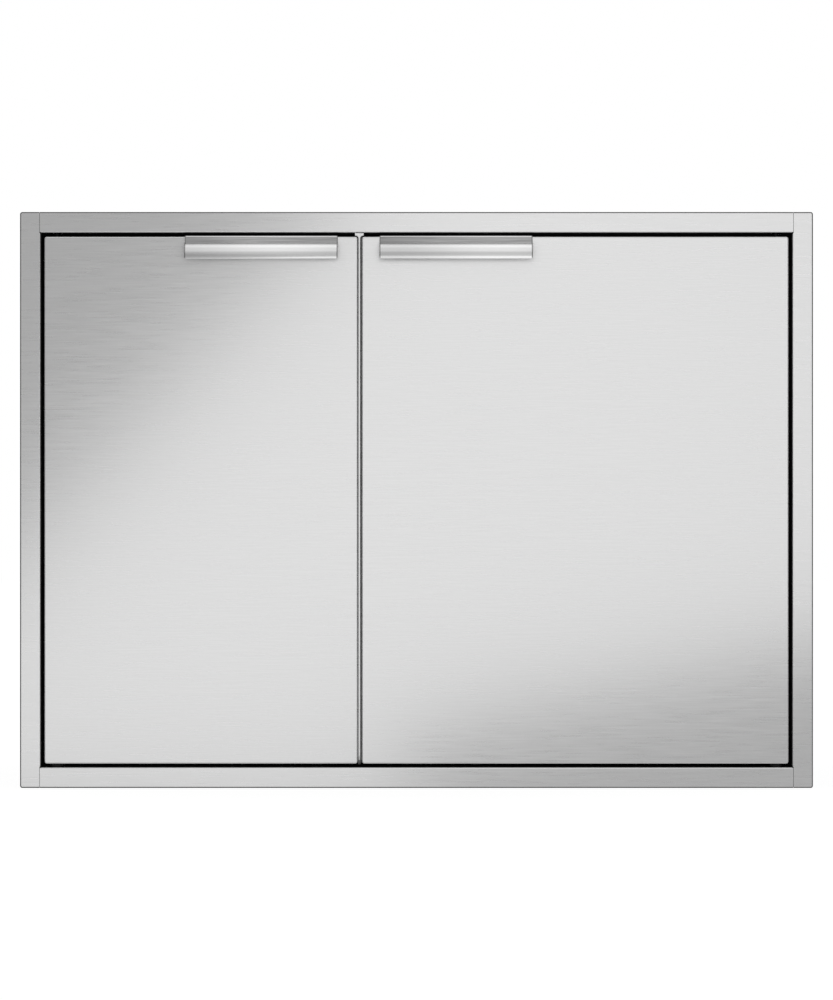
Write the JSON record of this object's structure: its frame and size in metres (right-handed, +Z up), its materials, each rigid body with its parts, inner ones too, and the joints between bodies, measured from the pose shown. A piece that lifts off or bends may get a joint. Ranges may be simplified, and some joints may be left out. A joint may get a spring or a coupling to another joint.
{
  "type": "outdoor kitchen pantry",
  "caption": "Built-in stainless outdoor kitchen pantry: face frame, sealed sheet carcass with shelves, and inset doors of unequal width on pivot pins with lip handles.",
  "frame": {"origin": "middle of the carcass floor's underside, on the sill of the cut-out", "axes": "+X to the right seen from the front, +Y to the back, +Z up"},
  "size_m": [0.762, 0.5424, 0.5535],
  "materials": {
    "face_steel": "fine horizontal brushing",
    "inner_steel": "plain mill sheet",
    "hinge_steel": "turned and zinc plated",
    "rivet_aluminium": "plain",
    "seal_rubber": "matt black",
    "bush_plastic": "black acetal",
    "catch_plastic": "black moulded",
    "magnet_dark": "ground"
  },
  "bodies": {
    "cabinet": {"frame_left_stile": "face_steel", "frame_right_stile": "face_steel", "frame_top_rail": "face_steel", "frame_bottom_rail": "face_steel", "frame_corner_brackets": "inner_steel", "carcass_left_side": "inner_steel", "carcass_right_side": "inner_steel", "carcass_floor": "inner_steel", "carcass_top": "inner_steel", "carcass_back": "inner_steel", "carcass_rivets": "rivet_aluminium", "centre_mullion": "face_steel", "centre_divider": "inner_steel", "left_opening_seal": "seal_rubber", "left_pivot_plates": "hinge_steel", "left_lower_hinge_pin": "hinge_steel", "left_upper_hinge_pin": "hinge_steel", "left_thrust_washer": "bush_plastic", "left_catch_housing": "catch_plastic", "left_catch_magnet": "magnet_dark", "left_catch_screws": "hinge_steel", "left_shelf_standards": "inner_steel", "left_shelf_clips": "hinge_steel", "left_shelf": "inner_steel", "right_opening_seal": "seal_rubber", "right_pivot_plates": "hinge_steel", "right_lower_hinge_pin": "hinge_steel", "right_upper_hinge_pin": "hinge_steel", "right_thrust_washer": "bush_plastic", "right_catch_housing": "catch_plastic", "right_catch_magnet": "magnet_dark", "right_catch_screws": "hinge_steel", "right_shelf_standards": "inner_steel", "right_shelf_clips": "hinge_steel", "right_shelf": "inner_steel"},
    "left_door": {"left_door_skin": "face_steel", "left_door_liner": "inner_steel", "left_lower_hinge_block": "hinge_steel", "left_upper_hinge_block": "hinge_steel", "left_hinge_bushes": "bush_plastic", "left_handle": "face_steel", "left_handle_screws": "hinge_steel", "left_strike_plate": "hinge_steel"},
    "right_door": {"right_door_skin": "face_steel", "right_door_liner": "inner_steel", "right_lower_hinge_block": "hinge_steel", "right_upper_hinge_block": "hinge_steel", "right_hinge_bushes": "bush_plastic", "right_handle": "face_steel", "right_handle_screws": "hinge_steel", "right_strike_plate": "hinge_steel"}
  },
  "joints": [
    {"name": "left_door_swing", "type": "hinge", "parent": "cabinet", "child": "left_door", "pos_m": [-0.3457, -0.2525, 0.25815], "axis": [0, 0, -1], "range_deg": [0, 110]},
    {"name": "right_door_swing", "type": "hinge", "parent": "cabinet", "child": "right_door", "pos_m": [0.3457, -0.2525, 0.25815], "axis": [0, 0, 1], "range_deg": [0, 110]}
  ]
}
